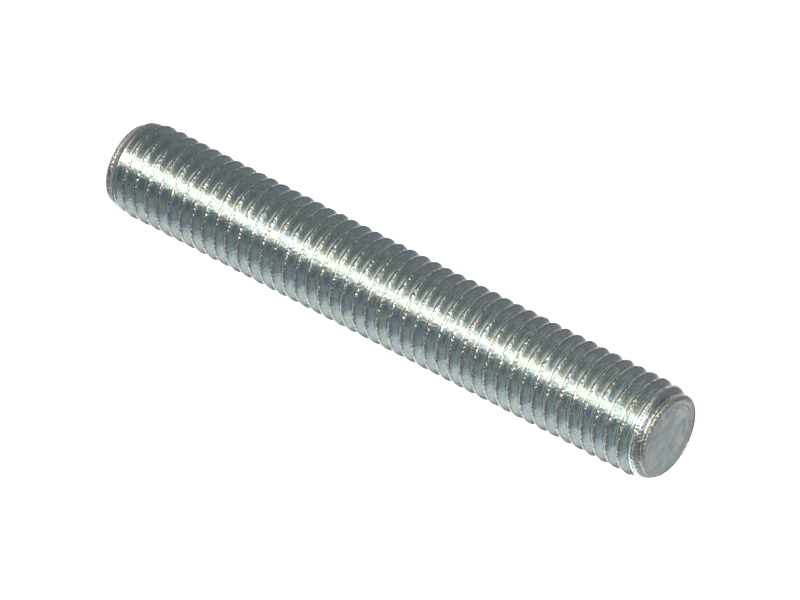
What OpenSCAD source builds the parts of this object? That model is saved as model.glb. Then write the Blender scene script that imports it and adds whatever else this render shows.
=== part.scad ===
// Short piece of threaded rod, such as joins two tapped parts: one zinc-plated
// steel bar with a right-hand metric thread from end to end. Each end has a flat
// face, a low sloping edge round it and a long tapered lead, in which the thread
// runs out. The rod stands on one end, with its axis on Z and its origin at the
// middle of the lower end face. The front of the rod is its -Y side.

/* [Rod] */
// Length over both end faces
rod_length = 80; // [40:1:110]
// Diameter over the thread crests
major_d = 11.8; // [10:0.1:14]

/* [Thread] */
// Distance from one crest to the next, along the axis
pitch = 1.75; // [1.25:0.05:2]
// Angle between the two flanks of the groove
flank_angle = 60; // [50:1:65]
// Width of the crest, along the axis
crest_flat = 0.22; // [0.15:0.01:0.3]
// Width of the groove's bottom, along the axis
root_flat = 0.29; // [0.2:0.01:0.4]
// Height at which the first crest passes the front of the rod
first_crest = 1.4; // [0:0.05:1.7]

/* [Ends] */
// How far the flat end face stays inside the bottom of the groove
face_inset = 0.05; // [0.03:0.01:0.5]
// Width of the sloping edge round the flat face, across the rod
edge_w = 0.4; // [0.1:0.05:0.4]
// Angle between the sloping edge and the flat face
edge_angle = 26; // [20:1:45]
// Angle between the tapered lead and the rod's axis
lead_angle = 17; // [12:1:30]

/* [Smoothness] */
// Facets in one turn of each flank
facets_per_turn = 24; // [16:1:26]

/* [Hidden] */
bright_zinc = [0.72, 0.76, 0.77];
round_fn = 96;

flank_slope = tan(flank_angle / 2);
thread_depth = (pitch - crest_flat - root_flat) / 2 / flank_slope;
major_r = major_d / 2;
root_r = major_r - thread_depth;
end_face_r = root_r - face_inset;
lead_r = end_face_r + edge_w;
edge_h = edge_w * tan(edge_angle);
end_h = edge_h + (major_r - lead_r) / tan(lead_angle);

// The ridge is swept a little wider than the crests, deeper than the groove and
// past both ends. The plain turned bar and its core then trim it, which makes
// the crest, the bottom of the groove and both ends truly round.
spare = 0.1;
ridge_in_r = root_r - spare;
ridge_out_r = (major_r + spare / 4) / cos(180 / facets_per_turn);
spare_turns = 1;
turns = ceil(rod_length / pitch) + 2 * spare_turns;
steps = turns * facets_per_turn;
// Share of a step that keeps the ridge's sections off the X and Y planes
section_shift = 0.4;

// Half the ridge's width along the axis, at radius r
function half_width(r) = crest_flat / 2 + (major_r - r) * flank_slope;

// The ridge's section at radius and side [r, side] of each corner, after i steps
function ridge_section(i) =
    let (turn = (i + section_shift) / facets_per_turn - spare_turns,
         angle = 360 * turn - 90,
         crest_z = first_crest + pitch * turn,
         corners = [[ridge_in_r, -1], [ridge_out_r, -1],
                    [ridge_out_r, 1], [ridge_in_r, 1]])
    [for (c = corners)
        [c[0] * cos(angle), c[0] * sin(angle), crest_z + c[1] * half_width(c[0])]];

// The thread's ridge: a four-sided skin that climbs right-handed round the core
module thread_ridge() {
    points = [for (i = [0:steps]) each ridge_section(i)];
    last = 4 * steps;
    sides = [for (i = [0:steps - 1], k = [0:3])
        let (a = 4 * i + k, b = 4 * i + (k + 1) % 4)
        each [[a, b + 4, a + 4], [a, b, b + 4]]];
    caps = [[0, 2, 1], [0, 3, 2],
            [last, last + 1, last + 2], [last, last + 2, last + 3]];
    polyhedron(points, concat(sides, caps), convexity = 10);
}

// The bar as it is before threading, turned to the crests and to its two ends
module turned_bar() {
    rotate_extrude($fn = round_fn)
        polygon([[0, 0],
                 [end_face_r, 0],
                 [lead_r, edge_h],
                 [major_r, end_h],
                 [major_r, rod_length - end_h],
                 [lead_r, rod_length - edge_h],
                 [end_face_r, rod_length],
                 [0, rod_length]]);
}

// What the thread leaves whole, longer than the bar so that the bar trims it
module core() {
    translate([0, 0, -spare])
        cylinder(r = root_r, h = rod_length + 2 * spare, $fn = round_fn);
}

module threaded_rod() {
    color(bright_zinc)
        intersection() {
            turned_bar();
            union() {
                core();
                thread_ridge();
            }
        }
}

threaded_rod();
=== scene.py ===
"""Studio scene of a short zinc-plated threaded rod.

The rod is one piece of steel bar, thread-rolled from end to end, with a tapered
lead and a flat face at each end. It stands on one end on a pale floor, and a
long lens looks down on it with the camera rolled over, so that the rod lies
across the picture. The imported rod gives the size; a finer skin of the same form
takes its place. Sizes of the rod are in millimetres until its mesh is finished.
"""

import logging
import math
from dataclasses import dataclass, field, replace
from enum import Enum

import bmesh
import bpy
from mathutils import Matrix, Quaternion, Vector, noise


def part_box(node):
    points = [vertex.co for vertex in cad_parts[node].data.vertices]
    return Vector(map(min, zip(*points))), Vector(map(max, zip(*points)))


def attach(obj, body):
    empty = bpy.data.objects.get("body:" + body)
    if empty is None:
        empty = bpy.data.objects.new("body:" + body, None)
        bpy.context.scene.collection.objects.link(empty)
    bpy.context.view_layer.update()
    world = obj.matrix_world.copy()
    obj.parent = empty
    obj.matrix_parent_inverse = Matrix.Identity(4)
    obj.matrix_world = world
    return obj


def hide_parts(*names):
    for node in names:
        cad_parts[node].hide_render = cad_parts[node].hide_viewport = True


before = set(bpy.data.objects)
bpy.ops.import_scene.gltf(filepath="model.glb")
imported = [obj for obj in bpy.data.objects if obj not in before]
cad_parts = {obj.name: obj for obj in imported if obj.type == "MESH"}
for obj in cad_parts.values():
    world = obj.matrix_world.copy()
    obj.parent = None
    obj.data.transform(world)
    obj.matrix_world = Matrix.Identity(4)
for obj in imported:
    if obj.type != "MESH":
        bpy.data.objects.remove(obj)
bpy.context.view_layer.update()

log = logging.getLogger("threaded_rod_scene")
MM = 0.001
ROD_NODE = "threaded_rod"
THREAD_UV = "thread_run"
LEAD_MASK = "lead"
WHITE = "FFFFFF"
# An area lamp gives off a radiance of one at this many watts a square metre
WATTS_PER_RADIANCE = 4
# The colour sockets of a Mix node: its two inputs and its result
MIX_A, MIX_B, MIX_RESULT = 6, 7, 2
# The number sockets of a Mix node: its two inputs and its result
BLEND_A, BLEND_B, BLEND_RESULT = 2, 3, 0
# Place and sRGB hex colour of each stop of a colour ramp
Stops = tuple[tuple[float, str], ...]


class End(Enum):
    """The rod's two ends, by the way that each faces along the axis."""

    LOWER = -1
    UPPER = 1


def linear(hex_colour: str) -> tuple[float, float, float, float]:
    """Turn an sRGB hex colour into linear RGBA.

    Args:
        hex_colour: six hex digits, such as "C8D0D2".

    Returns:
        The linear colour with an alpha of one.
    """
    channels = [int(hex_colour[i:i + 2], 16) / 255 for i in (0, 2, 4)]
    low = [c / 12.92 for c in channels]
    high = [((c + 0.055) / 1.055) ** 2.4 for c in channels]
    r, g, b = [h if c > 0.04045 else lo for c, lo, h in zip(channels, low, high)]
    return (r, g, b, 1.0)


def smooth_min(a: float, b: float, blend: float) -> float:
    """Give the smaller of two lengths, with a rounded change-over.

    Args:
        a: first length.
        b: second length.
        blend: how far apart the two still round each other off.

    Returns:
        The rounded minimum.
    """
    near = max(blend - abs(a - b), 0.0) / blend
    return min(a, b) - near * near * blend / 4


def ramp(value: float, start: float, end: float) -> float:
    """Rise smoothly from 0 at start to 1 at end.

    Args:
        value: where on the ramp.
        start: value at which the ramp leaves 0.
        end: value at which the ramp reaches 1.

    Returns:
        The ramp's height.
    """
    share = min(max((value - start) / (end - start), 0.0), 1.0)
    return share * share * (3 - 2 * share)


def set_stops(colours: bpy.types.ColorRamp, stops: Stops) -> None:
    """Give a colour ramp its stops.

    Args:
        colours: a new ramp, with the two stops that it starts with.
        stops: place and sRGB hex colour of each stop, in rising order.
    """
    places = [place for place, _ in stops]
    colours.elements[0].position = places[0]
    colours.elements[1].position = places[-1]
    for place in places[1:-1]:
        colours.elements.new(place)
    for element, (_, colour) in zip(colours.elements, stops):
        element.color = linear(colour)


@dataclass(frozen=True)
class Band:
    """A band with soft edges across the thread's section, in millimetres.

    It has its middle, half its width, and the width of each edge.
    """

    middle: float
    half: float
    soft: float

    def moved(self, by: float) -> "Band":
        """Give the same band with its middle moved along the section."""
        return replace(self, middle=by + self.middle)


class Nodes:
    """A material's node tree, filled one node at a time."""

    def __init__(self, material: bpy.types.Material) -> None:
        """Empty the material's tree and keep it.

        Args:
            material: the material that the nodes are for.
        """
        material.use_nodes = True
        self.tree = material.node_tree
        self.tree.nodes.clear()

    def add(self, kind: str, settings: dict[str, object] | None = None,
            inputs: dict[str | int, object] | None = None) -> bpy.types.Node:
        """Add one node with its settings, values and links.

        Args:
            kind: the node's type, without "ShaderNode".
            settings: the node's own properties.
            inputs: socket name or index, and a value or an output socket.

        Returns:
            The new node.
        """
        node = self.tree.nodes.new("ShaderNode" + kind)
        for name, value in (settings or {}).items():
            setattr(node, name, value)
        for name, value in (inputs or {}).items():
            if isinstance(value, bpy.types.NodeSocket):
                self.tree.links.new(value, node.inputs[name])
            else:
                node.inputs[name].default_value = value
        return node

    def mask(self, across: bpy.types.NodeSocket, band: Band) -> bpy.types.NodeSocket:
        """Mark a band across the thread's section.

        Args:
            across: the place across the section, in millimetres.
            band: the band to mark.

        Returns:
            A socket with 1 in the band and 0 beside it.
        """
        offset = self.add("Math", {"operation": "SUBTRACT"}, {
            0: across, 1: band.middle})
        away = self.add("Math", {"operation": "ABSOLUTE"}, {0: offset.outputs[0]})
        edge = self.add("MapRange", {"interpolation_type": "SMOOTHSTEP"}, {
            "Value": away.outputs[0], "From Min": band.half - band.soft / 2,
            "From Max": band.half + band.soft / 2, "To Min": 1.0, "To Max": 0.0})
        return edge.outputs[0]


@dataclass(frozen=True)
class ThreadForm:
    """The rolled 60 degree thread, in millimetres and degrees."""

    pitch: float = 1.75
    half_flank_angle: float = 30.0
    crest_flat: float = 0.22
    root_flat: float = 0.29
    first_crest: float = 1.4
    crest_round: float = 0.095
    root_round: float = 0.14

    @property
    def depth(self) -> float:
        """Height of the crest over the bottom of the groove."""
        flat = self.crest_flat + self.root_flat
        return (self.pitch - flat) / 2 / math.tan(math.radians(self.half_flank_angle))


@dataclass(frozen=True)
class EndForm:
    """An end of the rod: flat face, low sloping edge and tapered lead.

    Lengths are in millimetres and angles in degrees. The edge's angle is from
    the face, and the lead's from the axis.
    """

    face_inset: float = 0.05
    edge_width: float = 0.4
    edge_angle: float = 26.0
    lead_angle: float = 17.0
    blend: float = 0.12

    def limit(self, root_r: float, from_end: float) -> float:
        """Give the radius that the edge and the lead leave to the bar.

        Args:
            root_r: radius at the bottom of the groove.
            from_end: distance from the end face, along the axis.

        Returns:
            The radius there, which past the lead is more than the crests'.
        """
        face_r = root_r - self.face_inset
        edge_h = self.edge_width * math.tan(math.radians(self.edge_angle))
        edge = face_r + from_end / math.tan(math.radians(self.edge_angle))
        lead = face_r + self.edge_width
        lead += (from_end - edge_h) * math.tan(math.radians(self.lead_angle))
        return smooth_min(edge, lead, self.blend)


@dataclass
class ThreadedRod:
    """The rod's visible skin, built from its section, in millimetres."""

    length: float
    major_r: float
    thread: ThreadForm = field(default_factory=ThreadForm)
    end: EndForm = field(default_factory=EndForm)
    # Columns of faces in one turn, loops of edges that round a crest's and a
    # root's corners, and loops that divide each flank
    columns: int = 96
    crest_segments: int = 3
    root_segments: int = 2
    flank_cuts: int = 2
    # Spare turns of the section at the rod's lower and upper end, which trimming
    # takes off
    turns_below: int = 2
    turns_above: int = 1
    # How near two vertices of the sweep, or a vertex and a cut, count as one
    merge_distance: float = 0.002
    cut_distance: float = 1e-4
    # How far a crest and the lead that cuts it round each other off
    crest_blend: float = 0.1
    # Depth of the crests' unevenness, its length, its share inwards, and how much
    # finer its second wave is
    crest_wave: float = 0.05
    crest_wave_length: float = 1.9
    crest_wave_inwards: float = 0.5
    crest_fine_wave: float = 2.7
    # Heights over each end face at which the skin gets an extra loop of edges
    end_loops: tuple[float, ...] = (0.05, 0.12, 0.2, 0.3, 0.5, 0.8, 1.2, 1.7, 2.3)
    # Rings of faces in an end face, and the size of its middle disc to the last
    face_rings: int = 14
    face_disc: float = 0.3
    # How low the face's rim lies, how much more so on one side, and the shares of
    # the face's radius between which it falls
    face_drop: float = 0.1
    face_lean: float = 0.7
    face_fall: tuple[float, float] = (0.6, 1.1)
    # Share of the face's radius and depth under it that have the face's finish
    face_share: float = 0.98
    face_depth: float = 0.15
    # Distances from an end face over which the lead's finish fades out
    lead_fade: tuple[float, float] = (0.2, 1.6)
    # How far below a crest its turn's part of the UV map starts, in pitches
    map_start: float = 0.25

    @property
    def root_r(self) -> float:
        """Radius at the bottom of the groove."""
        return self.major_r - self.thread.depth

    @property
    def face_r(self) -> float:
        """Radius of the flat end face."""
        return self.root_r - self.end.face_inset

    def from_end(self, z: float) -> float:
        """Give the distance from the nearer end face to height z."""
        return min(z, self.length - z)

    def section(self, bm: bmesh.types.BMesh) -> None:
        """Draw the thread's section on the rod's front, with round corners.

        Args:
            bm: the mesh that takes the section as one chain of edges.
        """
        form = self.thread
        last_turn = math.ceil(self.length / form.pitch) + self.turns_above
        chain, crests, roots = [], [], []
        for turn in range(-self.turns_below, last_turn):
            crest_z = form.first_crest + turn * form.pitch
            for corners, radius, middle, flat in (
                    (crests, self.major_r, crest_z, form.crest_flat),
                    (roots, self.root_r, crest_z + form.pitch / 2, form.root_flat)):
                for side in (-1, 1):
                    vert = bm.verts.new((0, -radius, middle + side * flat / 2))
                    corners.append(vert)
                    chain.append(vert)
        for low, high in zip(chain, chain[1:]):
            bm.edges.new((low, high))
        for corners, offset, segments in (
                (crests, form.crest_round, self.crest_segments),
                (roots, form.root_round, self.root_segments)):
            bmesh.ops.bevel(bm, geom=corners, offset=offset, offset_type="OFFSET",
                            segments=segments, profile=0.5, affect="VERTICES",
                            material=-1)
        flanks = [e for e in bm.edges if e.calc_length() > form.depth / 2]
        bmesh.ops.subdivide_edges(bm, edges=flanks, cuts=self.flank_cuts)

    def skin(self) -> bmesh.types.BMesh:
        """Sweep the section round the axis, trim the ends and close them.

        Returns:
            The closed skin of the rod.
        """
        form = self.thread
        bm = bmesh.new()
        self.section(bm)
        bmesh.ops.spin(bm, geom=bm.verts[:] + bm.edges[:], cent=(0, 0, 0),
                       axis=(0, 0, 1), dvec=(0, 0, form.pitch / self.columns),
                       angle=math.tau, steps=self.columns, use_merge=False,
                       use_duplicate=False)
        bmesh.ops.remove_doubles(bm, verts=bm.verts[:], dist=self.merge_distance)
        rims = {}
        for end in End:
            face_z = 0.0 if end is End.LOWER else self.length
            for height in (0.0, *self.end_loops):
                cut = bmesh.ops.bisect_plane(
                    bm, geom=bm.verts[:] + bm.edges[:] + bm.faces[:],
                    dist=self.cut_distance,
                    plane_co=(0, 0, face_z - end.value * height),
                    plane_no=(0, 0, end.value), clear_outer=height == 0.0)
                if height == 0.0:
                    rims[end] = [g for g in cut["geom_cut"]
                                 if isinstance(g, bmesh.types.BMEdge)]
        self.shape(bm)
        for end in End:
            self.close_end(bm, end, rims[end])
        bmesh.ops.recalc_face_normals(bm, faces=bm.faces[:])
        return bm

    def shape(self, bm: bmesh.types.BMesh) -> None:
        """Make the crests uneven, as rolling leaves them, and taper the leads.

        Args:
            bm: the swept thread, cut to length.
        """
        for v in bm.verts:
            radius = math.hypot(v.co.x, v.co.y)
            height = ramp(radius, self.root_r + self.thread.depth / 2, self.major_r)
            wave = noise.noise(v.co / self.crest_wave_length)
            fine = v.co / self.crest_wave_length * self.crest_fine_wave
            wave += noise.noise(fine) / 2
            limit = self.end.limit(self.root_r, self.from_end(v.co.z))
            new = radius + self.crest_wave * height * (wave - self.crest_wave_inwards)
            new = smooth_min(new, limit, self.crest_blend)
            v.co.x *= new / radius
            v.co.y *= new / radius

    def close_end(self, bm: bmesh.types.BMesh, end: End,
                  rim: list[bmesh.types.BMEdge]) -> None:
        """Fill an end face with rings from its rim to a small middle disc.

        Tumbling left the face low near its rim, so that it has no sharp edge.

        Args:
            bm: the skin.
            end: which end it is.
            rim: the edges of the open end.
        """
        edges = rim
        rows = [{v for edge in rim for v in edge.verts}]
        for ring in range(self.face_rings, 0, -1):
            made = bmesh.ops.extrude_edge_only(bm, edges=edges)["geom"]
            verts = {g for g in made if isinstance(g, bmesh.types.BMVert)}
            edges = [g for g in made if isinstance(g, bmesh.types.BMEdge)
                     and all(v in verts for v in g.verts)]
            step = (ring - 1) / ring if ring > 1 else self.face_disc
            bmesh.ops.scale(bm, verts=list(verts), vec=(step, step, 1))
            rows.append(verts)
        bmesh.ops.contextual_create(bm, geom=edges)
        fall_start, fall_end = (self.face_r * share for share in self.face_fall)
        for v in set().union(*rows):
            share = ramp(math.hypot(v.co.x, v.co.y), fall_start, fall_end)
            share *= 1 + self.face_lean * (v.co.y - v.co.x) / self.major_r
            v.co.z -= end.value * self.face_drop * share

    def map_thread(self, bm: bmesh.types.BMesh) -> None:
        """Lay a UV map along the thread, and mark the leads.

        U runs along the helix and V across the section, from the middle of the
        crest, both in millimetres. A pattern can so follow the way that the
        rolling dies moved, and tell the crest from the bottom of the groove.

        Args:
            bm: the finished skin.
        """
        layer = bm.loops.layers.uv.new(THREAD_UV)
        lead = bm.verts.layers.float.new(LEAD_MASK)
        pitch = self.thread.pitch
        lap = math.tau * self.major_r
        for v in bm.verts:
            v[lead] = 1 - ramp(self.from_end(v.co.z), *self.lead_fade)
        for face in bm.faces:
            middle = face.calc_center_median()
            angle = math.atan2(middle.x, -middle.y)
            place = (middle.z - self.thread.first_crest) / pitch - angle / math.tau
            turn = math.floor(place + self.map_start)
            for loop in face.loops:
                co = loop.vert.co
                around = math.atan2(co.x, -co.y)
                around += math.tau * round((angle - around) / math.tau)
                along = (co.z - self.thread.first_crest) / pitch - around / math.tau
                loop[layer].uv = (lap * (turn + around / math.tau),
                                  pitch * (along - turn))

    def build(self) -> bpy.types.Object:
        """Make the rod's object, in metres at the origin.

        Returns:
            The rod, smooth-shaded.
        """
        bm = self.skin()
        self.map_thread(bm)
        for face in bm.faces:
            middle = face.calc_center_median()
            inside = math.hypot(middle.x, middle.y) < self.face_r * self.face_share
            on_face = inside and self.from_end(middle.z) < self.face_depth
            face.material_index = int(on_face)
        bmesh.ops.scale(bm, verts=bm.verts[:], vec=(MM, MM, MM))
        mesh = bpy.data.meshes.new("rod_skin")
        bm.to_mesh(mesh)
        bm.free()
        mesh.shade_smooth()
        rod = bpy.data.objects.new("threaded_rod_skin", mesh)
        bpy.context.scene.collection.objects.link(rod)
        rod.modifiers.new("flank_shading", "WEIGHTED_NORMAL").keep_sharp = True
        return rod


@dataclass(frozen=True)
class RolledZinc:
    """Bright zinc plating, clear to blue passivated, over thread-rolled steel.

    The plating shines like satin and keeps the die marks, which run along the
    thread. Its thin passivation tints it blue, green and violet in patches. The
    crest is a torn seam with bright and dull grains of plating, and a darker line
    of painted shade where the upper flank folds into it. The flank that faces down
    is paler, a painted reflection of the bright floor, and the bottom of the groove
    is a little rougher and darker, the darkness being painted shade. The tapered
    leads are greyer, which is painted shade, and crumpled where the bar was cut
    off. Lengths are in millimetres.
    """

    # Passivation: violet, blue, plain and green
    tints: Stops = ((0.34, "A3A1A8"), (0.44, "869DAB"), (0.52, "9CA5A6"),
                    (0.64, "95A99F"))
    bright_grain: str = "9DA19B"
    dull_grain: str = "696C6A"
    # Painted shade: the darker line where the upper flank folds into the crest
    fold_shade: str = "888B89"
    # Painted shade: the darker bottom of the groove
    groove: str = "8E9899"
    # Painted reflection: the paler flank that faces down to the bright floor
    lee_reflection: str = "C6CECB"
    # Painted shade: the greyer tapered leads
    lead: str = "8F8E8A"
    # How far the lead's painted shade covers the tints
    lead_shade_cover: float = 0.8
    roughness: float = 0.2
    groove_roughness: float = 0.23
    lead_roughness: float = 0.28
    # Bands across the section, from the middle of the crest
    crest_band: Band = Band(0.0, 0.09, 0.06)
    seam_band: Band = Band(0.0, 0.17, 0.06)
    fold_shade_band: Band = Band(0.17, 0.03, 0.05)
    lee_band: Band = Band(-0.3, 0.22, 0.05)
    # Bands across the section, from the middle of the groove
    groove_band: Band = Band(0.05, 0.22, 0.2)
    lower_lee_band: Band = Band(0.42, 0.36, 0.12)
    # Sizes of the patterns: wander of the bands, patches of tint, torn grains, die
    # marks (along and across the thread), grain of the plating, lumps on the leads
    wander: float = 0.35
    patch: float = 1.1
    torn: float = 0.4
    mark: tuple[float, float] = (1.2, 0.15)
    grain: float = 0.35
    lump: float = 0.35
    # How far the bands wander to each side, at most
    wander_reach: float = 0.1
    # Values of the torn pattern between which dull grains turn bright
    grain_turn: tuple[float, float] = (0.42, 0.6)
    mark_depth: float = 0.01
    grain_depth: float = 0.038
    torn_depth: float = 0.15
    lump_depth: float = 0.2

    def material(self, pitch: float) -> bpy.types.Material:
        """Make the plating's material.

        Args:
            pitch: the thread's pitch, in millimetres.

        Returns:
            The material.
        """
        mat = bpy.data.materials.new("bright_zinc_on_rolled_steel")
        nodes = Nodes(mat)
        place = nodes.add("TexCoord").outputs["Object"]
        run = nodes.add("UVMap", {"uv_map": THREAD_UV}).outputs["UV"]
        lead = nodes.add("Attribute", {"attribute_name": LEAD_MASK}).outputs["Fac"]
        whole = nodes.add("Math", {"operation": "SUBTRACT"}, {0: 1.0, 1: lead})

        # The place across the section, jagged so that seam and bands wander a little
        jag = nodes.add("TexNoise", inputs={
            "Vector": place, "Scale": 1 / (self.wander * MM), "Detail": 2.0})
        jag = nodes.add("Math", {"operation": "MULTIPLY_ADD"}, {
            0: jag.outputs["Fac"], 1: 2 * self.wander_reach, 2: -self.wander_reach})
        section = nodes.add("SeparateXYZ", inputs={0: run})
        across = nodes.add("Math", {"operation": "ADD"}, {
            0: section.outputs["Y"], 1: jag.outputs[0]}).outputs[0]

        # Bands of the thread, which fade out on the leads. The flank that faces down
        # lies on both sides of the UV map's own edge
        half_pitch = pitch / 2
        seam = nodes.mask(across, self.seam_band)
        # The flank that faces down, which gets a painted reflection
        lee_reflection_mask = nodes.add("Math", {"operation": "MAXIMUM"}, {
            0: nodes.mask(across, self.lower_lee_band.moved(half_pitch)),
            1: nodes.mask(across, self.lee_band)}).outputs[0]
        groove, lee_reflection_mask, fold_shade_mask, crest = (
            nodes.add("Math", {"operation": "MULTIPLY"}, {
                0: whole.outputs[0], 1: band}).outputs[0]
            for band in (nodes.mask(across, self.groove_band.moved(half_pitch)), lee_reflection_mask,
                         nodes.mask(across, self.fold_shade_band),
                         nodes.mask(across, self.crest_band)))

        # Passivation tints in patches, with finer ones in them
        patches = nodes.add("TexNoise", inputs={
            "Vector": place, "Scale": 1 / (self.patch * MM), "Detail": 4.0,
            "Roughness": 0.7})
        tint = nodes.add("ValToRGB", inputs={"Fac": patches.outputs["Fac"]})
        set_stops(tint.color_ramp, self.tints)
        # Grains of plating on the seam
        torn = nodes.add("TexNoise", inputs={
            "Vector": place, "Scale": 1 / (self.torn * MM), "Detail": 2.0})
        bright = nodes.add("MapRange", {"interpolation_type": "SMOOTHSTEP"}, {
            "Value": torn.outputs["Fac"], "From Min": self.grain_turn[0],
            "From Max": self.grain_turn[1]})
        grains = nodes.add("Mix", {"data_type": "RGBA"}, {
            "Factor": bright.outputs[0], MIX_A: linear(self.dull_grain),
            MIX_B: linear(self.bright_grain)})
        cover = nodes.add("Math", {"operation": "MULTIPLY"}, {
            0: lead, 1: self.lead_shade_cover})
        colour = tint.outputs["Color"]
        # Painted shade on the bottom of the groove, and a painted reflection on the
        # flank that faces down
        for mask, coat in ((groove, linear(self.groove)), (lee_reflection_mask, linear(self.lee_reflection)),
                           # Painted shade on the fold's line
                           (fold_shade_mask, linear(self.fold_shade)),
                           (crest, grains.outputs[MIX_RESULT]),
                           # Painted shade on the leads
                           (cover.outputs[0], linear(self.lead))):
            colour = nodes.add("Mix", {"data_type": "RGBA"}, {
                "Factor": mask, MIX_A: colour, MIX_B: coat}).outputs[MIX_RESULT]
        roughness = self.roughness
        for mask, coat in ((groove, self.groove_roughness),
                           (lead, self.lead_roughness)):
            roughness = nodes.add("Mix", {"data_type": "FLOAT"}, {
                "Factor": mask, BLEND_A: roughness,
                BLEND_B: coat}).outputs[BLEND_RESULT]

        # Die marks along the thread, drawn coarser than real ones so that they show
        stretched = nodes.add("Mapping", inputs={
            "Vector": run, "Scale": (1 / self.mark[0], 1 / self.mark[1], 1.0)})
        marks = nodes.add("TexNoise", inputs={
            "Vector": stretched.outputs[0], "Scale": 1.0, "Detail": 2.0})
        grain = nodes.add("TexNoise", inputs={
            "Vector": place, "Scale": 1 / (self.grain * MM), "Detail": 3.0})
        lumps = nodes.add("TexNoise", inputs={
            "Vector": place, "Scale": 1 / (self.lump * MM), "Detail": 2.0})
        # Relief: die marks and grain all over, torn crests, crumpled leads
        normal = {}
        for relief, depth, strength in (
                (marks, self.mark_depth, 1.0), (grain, self.grain_depth, 1.0),
                (torn, self.torn_depth, seam), (lumps, self.lump_depth, lead)):
            bump = nodes.add("Bump", inputs={
                "Strength": strength, "Distance": depth * MM,
                "Height": relief.outputs["Fac"], **normal})
            normal = {"Normal": bump.outputs["Normal"]}
        shader = nodes.add("BsdfPrincipled", inputs={
            "Base Color": colour, "Metallic": 1.0, "Roughness": roughness, **normal})
        nodes.add("OutputMaterial", inputs={"Surface": shader.outputs[0]})
        return mat


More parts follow.
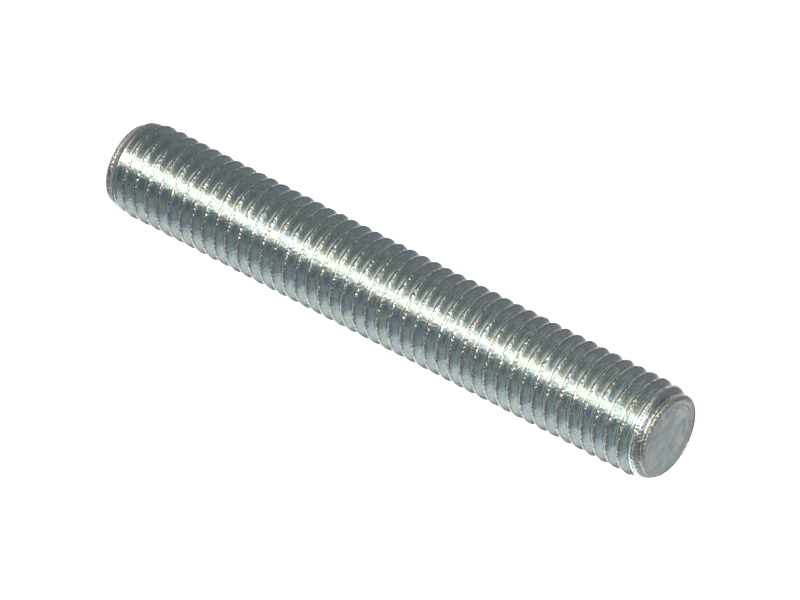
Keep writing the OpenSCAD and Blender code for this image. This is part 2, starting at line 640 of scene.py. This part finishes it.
@dataclass(frozen=True)
class EndFaceZinc:
    """Bright zinc plating over the cut and tumbled end face of the bar.

    The plating is duller than on the thread and cloudy. The cut left soft swirls
    over the whole face, and rings near the rim, which are plain to see on the
    low shoulder at the back left, where their tops carry a painted highlight.
    Lengths are in millimetres.
    """

    # Cloudy plating: dark, plain and light
    tints: Stops = ((0.36, "7E898C"), (0.5, "8F989A"), (0.66, "A2AAA6"))
    # Painted highlight on the tops of the shoulder's rings
    shoulder_highlight: str = "C8D0C9"
    roughness: float = 0.33
    cloud: float = 1.8
    swirl: float = 1.4
    swirl_depth: float = 0.1
    # Rings: their spacing and depth, how many radians the swirls push them aside,
    # and the radii between which they come in
    ring_spacing: float = 0.45
    ring_depth: float = 0.04
    ring_sway: float = 5.0
    ring_zone: tuple[float, float] = (2.6, 4.2)
    # Strength of the rings' relief away from the shoulder. On the shoulder it
    # is one
    ring_strength: float = 0.3
    # Shoulder: its side of the rod, the distances from the axis over which it comes
    # in, and the share of it that gets the painted highlight, with its change from
    # ring to ring
    shoulder_side: tuple[float, float, float] = (-0.7, 0.7, 0.0)
    shoulder_zone: tuple[float, float] = (0.0, 3.2)
    highlight_share: float = 0.5
    highlight_change: float = 0.3

    def material(self) -> bpy.types.Material:
        """Make the end face's material.

        Returns:
            The material.
        """
        mat = bpy.data.materials.new("bright_zinc_on_cut_steel")
        nodes = Nodes(mat)
        place = nodes.add("TexCoord").outputs["Object"]

        # Cloudy plating
        clouds = nodes.add("TexNoise", inputs={
            "Vector": place, "Scale": 1 / (self.cloud * MM), "Detail": 5.0,
            "Roughness": 0.65, "Distortion": 0.8})
        tint = nodes.add("ValToRGB", inputs={"Fac": clouds.outputs["Fac"]})
        set_stops(tint.color_ramp, self.tints)

        # Swirls left by the cut
        swirl = nodes.add("TexNoise", inputs={
            "Vector": place, "Scale": 1 / (self.swirl * MM), "Detail": 4.0,
            "Distortion": 2.5})
        swirl_bump = nodes.add("Bump", inputs={
            "Strength": 1.0, "Distance": self.swirl_depth * MM,
            "Height": swirl.outputs["Fac"]})

        # Rings round the axis, which fade from the rim inwards
        flat = nodes.add("VectorMath", {"operation": "MULTIPLY"}, {
            0: place, 1: (1.0, 1.0, 0.0)})
        radius = nodes.add("VectorMath", {"operation": "LENGTH"}, {
            0: flat.outputs[0]}).outputs["Value"]
        sway = nodes.add("Math", {"operation": "MULTIPLY"}, {
            0: swirl.outputs["Fac"], 1: self.ring_sway})
        turned = nodes.add("Math", {"operation": "MULTIPLY_ADD"}, {
            0: radius, 1: math.tau / (self.ring_spacing * MM), 2: sway.outputs[0]})
        rings = nodes.add("Math", {"operation": "SINE"}, {
            0: turned.outputs[0]}).outputs[0]
        near_rim = nodes.add("MapRange", {"interpolation_type": "SMOOTHSTEP"}, {
            "Value": radius, "From Min": self.ring_zone[0] * MM,
            "From Max": self.ring_zone[1] * MM}).outputs[0]
        height = nodes.add("Math", {"operation": "MULTIPLY"}, {0: rings, 1: near_rim})

        # The shoulder: rings that are deeper, and paler on their tops, a painted
        # highlight
        lean = nodes.add("VectorMath", {"operation": "DOT_PRODUCT"}, {
            0: place, 1: self.shoulder_side}).outputs["Value"]
        on_side = nodes.add("MapRange", {"interpolation_type": "SMOOTHSTEP"}, {
            "Value": lean, "From Min": self.shoulder_zone[0] * MM,
            "From Max": self.shoulder_zone[1] * MM})
        shoulder = nodes.add("Math", {"operation": "MULTIPLY"}, {
            0: on_side.outputs[0], 1: near_rim}).outputs[0]
        strength = nodes.add("Math", {"operation": "MULTIPLY_ADD"}, {
            0: shoulder, 1: 1 - self.ring_strength, 2: self.ring_strength})
        ring_bump = nodes.add("Bump", inputs={
            "Strength": strength.outputs[0], "Distance": self.ring_depth * MM,
            "Height": height.outputs[0], "Normal": swirl_bump.outputs[0]})
        shoulder_highlight = nodes.add("Math", {"operation": "MULTIPLY_ADD"}, {
            0: rings, 1: self.highlight_change, 2: self.highlight_share})
        shoulder_highlight = nodes.add("Math", {"operation": "MULTIPLY"}, {
            0: shoulder_highlight.outputs[0], 1: shoulder})
        colour = nodes.add("Mix", {"data_type": "RGBA"}, {
            "Factor": shoulder_highlight.outputs[0], MIX_A: tint.outputs["Color"],
            MIX_B: linear(self.shoulder_highlight)}).outputs[MIX_RESULT]
        shader = nodes.add("BsdfPrincipled", inputs={
            "Base Color": colour, "Metallic": 1.0,
            "Roughness": self.roughness, "Normal": ring_bump.outputs[0]})
        nodes.add("OutputMaterial", inputs={"Surface": shader.outputs[0]})
        return mat


@dataclass(frozen=True)
class Camera:
    """A long lens on a rolled camera, which looks down on the standing rod.

    Angles are in degrees and lengths in millimetres. The axis angle is between
    the line of sight and the rod's axis.
    """

    axis_angle: float = 61.475
    roll: float = 117.217
    sensor: float = 36.0
    lens: float = 340.9
    distance: float = 880.7
    # From the rod's middle to the point that the camera looks at
    aim: tuple[float, float, float] = (0.048, 0.0, 0.71)
    # Where the view starts and ends, as shares of the distance
    clip: tuple[float, float] = (0.1, 20.0)

    def place(self, middle: Vector) -> bpy.types.Object:
        """Put the camera in the scene, aimed at a point on the rod.

        Args:
            middle: the point in the middle of the rod, in metres.

        Returns:
            The camera's object.
        """
        data = bpy.data.cameras.new("camera")
        camera = bpy.data.objects.new("camera", data)
        bpy.context.scene.collection.objects.link(camera)
        bpy.context.scene.camera = camera
        data.sensor_width = self.sensor
        data.lens = self.lens
        tilt = math.radians(self.axis_angle)
        back = Vector((0, -math.sin(tilt), math.cos(tilt)))
        camera.location = middle + Vector(self.aim) * MM + back * self.distance * MM
        camera.rotation_mode = "QUATERNION"
        aim = (-back).to_track_quat("-Z", "Y")
        camera.rotation_quaternion = aim @ Quaternion((0, 0, 1), math.radians(self.roll))
        data.clip_start, data.clip_end = (self.distance * MM * c for c in self.clip)
        return camera


@dataclass(frozen=True)
class Softbox:
    """One rectangular lamp that faces the middle of the rod.

    Its azimuth goes from the rod's front towards +X, in degrees. Its distance,
    width and height are in metres, and its radiance is in shares of white.
    """

    name: str
    azimuth: float
    elevation: float
    width: float
    height: float
    radiance: float
    colour: str = WHITE
    distance: float = 1.2

    def place(self, middle: Vector) -> bpy.types.Object:
        """Put the lamp in the scene.

        Args:
            middle: the point that it faces.

        Returns:
            The lamp's object.
        """
        data = bpy.data.lights.new(self.name, "AREA")
        data.shape = "RECTANGLE"
        data.size = self.width
        data.size_y = self.height
        data.energy = self.radiance * WATTS_PER_RADIANCE * self.width * self.height
        data.color = linear(self.colour)[:3]
        lamp = bpy.data.objects.new(self.name, data)
        bpy.context.scene.collection.objects.link(lamp)
        azimuth, elevation = math.radians(self.azimuth), math.radians(self.elevation)
        away = Vector((math.sin(azimuth) * math.cos(elevation),
                       -math.cos(azimuth) * math.cos(elevation),
                       math.sin(elevation)))
        lamp.location = middle + away * self.distance
        lamp.rotation_mode = "QUATERNION"
        lamp.rotation_quaternion = (-away).to_track_quat("-Z", "Y")
        lamp.visible_camera = False
        return lamp


@dataclass(frozen=True)
class LightPanel:
    """A thin glowing panel just over the floor, a sector of a ring round the rod.

    Its azimuth goes from the rod's front towards +X, in degrees. Its radii and
    its height over the floor are in metres, and panels that overlap have heights
    of their own. Its radiance is in shares of white. The camera does not see it.
    """

    name: str
    azimuth: float
    half_angle: float
    radiance: float
    colour: str = WHITE
    inner: float = 0.007
    outer: float = 0.4
    height: float = 0.0005
    steps: int = 12

    def place(self) -> bpy.types.Object:
        """Lay the panel in its place.

        Returns:
            The panel's object.
        """
        bm = bmesh.new()
        middle, half = math.radians(self.azimuth), math.radians(self.half_angle)
        start = Vector((math.sin(middle - half), -math.cos(middle - half), 0))
        ends = [bm.verts.new(start * r + Vector((0, 0, self.height)))
                for r in (self.inner, self.outer)]
        edge = bm.edges.new(ends)
        bmesh.ops.spin(bm, geom=[*ends, edge], cent=(0, 0, 0), axis=(0, 0, 1),
                       angle=2 * half, steps=self.steps, use_merge=False,
                       use_duplicate=False)
        mesh = bpy.data.meshes.new(self.name)
        bm.to_mesh(mesh)
        bm.free()
        panel = bpy.data.objects.new(self.name, mesh)
        bpy.context.scene.collection.objects.link(panel)
        mat = bpy.data.materials.new(self.name + "_glow")
        nodes = Nodes(mat)
        glow = nodes.add("Emission", inputs={
            "Color": linear(self.colour), "Strength": self.radiance})
        nodes.add("OutputMaterial", inputs={"Surface": glow.outputs[0]})
        mesh.materials.append(mat)
        panel.visible_camera = False
        panel.visible_shadow = False
        return panel


@dataclass(frozen=True)
class Studio:
    """The floor, the lamps and the room's light round the rod.

    The lamp and the panel at the front make the bright streak along the rod, and
    the dimmer panels and cards beside them make the dark bands next to it.
    """

    middle: Vector
    room_level: float = 0.4
    floor_glow: float = 0.75
    # Half the floor's side, in metres
    floor_size: float = 6.0
    paper: str = "F2F2F2"
    softboxes: tuple[Softbox, ...] = (
        Softbox("front_softbox", -4, 29, 0.5, 1.35, 6.4, "FFF0DC"),
        Softbox("left_softbox", -38, 16, 0.8, 0.66, 1.5, "FFF3E0"),
        Softbox("high_softbox", -30, 70, 0.42, 0.42, 3.6),
        Softbox("right_softbox", 116, 8, 1.1, 0.4, 1.8),
        Softbox("side_softbox", 137, 36, 0.62, 0.66, 0.82, "FFF8F0"),
        Softbox("back_softbox", 182, 30, 0.8, 0.6, 0.6),
    )
    panels: tuple[LightPanel, ...] = (
        LightPanel("front_panel", -1.5, 12.0, 7.7, "FFEDDA"),
        LightPanel("left_panel", -21.5, 8, 0.92, "FFF1E2"),
        LightPanel("left_card", -75, 45, 0.5),
        LightPanel("left_far_panel", -32, 16, 1.5, "FFF3E0", inner=0.16, outer=1.0,
                   height=0.001),
        LightPanel("right_card", 34, 21, 0.42, "E0EEFF"),
        LightPanel("right_panel", 79, 23, 0.96, "F6FAFF"),
        # A dim ring round the foot, seen only in reflections: a painted shadow of the
        # rod's foot on the floor
        LightPanel("foot_shadow_card", 0, 180, 0.4, inner=0.0054, outer=0.0069),
        LightPanel("back_panel", 138, 33, 2.4, outer=1.1),
        LightPanel("back_left_panel", -150, 30, 1.6, "FFF2FC", outer=1.1),
    )

    def floor(self) -> bpy.types.Object:
        """Lay a white paper floor that shows white and keeps the rod's shadow.

        Returns:
            The floor's object.
        """
        bm = bmesh.new()
        bmesh.ops.create_grid(bm, x_segments=1, y_segments=1, size=self.floor_size)
        mesh = bpy.data.meshes.new("floor")
        bm.to_mesh(mesh)
        bm.free()
        floor = bpy.data.objects.new("floor", mesh)
        bpy.context.scene.collection.objects.link(floor)
        mat = bpy.data.materials.new("white_paper_floor")
        nodes = Nodes(mat)
        # Paper that glows for every ray that sees it, and so looks white, but
        # sheds no light of its own on the rod's shadow
        rays = nodes.add("LightPath")
        seen = nodes.add("Math", {"operation": "ADD"}, {
            0: rays.outputs["Is Camera Ray"], 1: rays.outputs["Is Glossy Ray"]})
        seen = nodes.add("Math", {"operation": "ADD", "use_clamp": True}, {
            0: seen.outputs[0], 1: rays.outputs["Is Transmission Ray"]})
        glow = nodes.add("Math", {"operation": "MULTIPLY"}, {
            0: seen.outputs[0], 1: self.floor_glow})
        paper = nodes.add("BsdfDiffuse", inputs={"Color": linear(self.paper)})
        light = nodes.add("Emission", inputs={
            "Color": linear(WHITE), "Strength": glow.outputs[0]})
        both = nodes.add("AddShader", inputs={0: paper.outputs[0], 1: light.outputs[0]})
        nodes.add("OutputMaterial", inputs={"Surface": both.outputs[0]})
        mesh.materials.append(mat)
        return floor

    def room(self) -> None:
        """Light the scene from a plain grey room."""
        world = bpy.data.worlds.new("room")
        bpy.context.scene.world = world
        world.use_nodes = True
        background = world.node_tree.nodes["Background"]
        background.inputs["Color"].default_value = linear(WHITE)
        background.inputs["Strength"].default_value = self.room_level

    def build(self) -> None:
        """Put the whole studio round the rod."""
        self.floor()
        self.room()
        for softbox in self.softboxes:
            softbox.place(self.middle)
            log.info("lamp %s", softbox.name)
        for panel in self.panels:
            panel.place()
            log.info("panel %s", panel.name)


def main() -> None:
    """Build the rod, its finish and the studio, and report each piece."""
    logging.basicConfig(level=logging.INFO, format="%(message)s")
    low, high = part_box(ROD_NODE)
    rod = ThreadedRod(length=(high.z - low.z) / MM, major_r=(high.x - low.x) / 2 / MM)
    skin = rod.build()
    skin.data.materials.append(RolledZinc().material(rod.thread.pitch))
    skin.data.materials.append(EndFaceZinc().material())
    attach(skin, "root")
    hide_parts(ROD_NODE)
    log.info("piece %s: %d faces", skin.name, len(skin.data.polygons))

    middle = (low + high) / 2
    Studio(middle).build()
    Camera().place(middle)
    bpy.context.scene.view_settings.view_transform = "Standard"


if __name__ == "__main__":
    main()
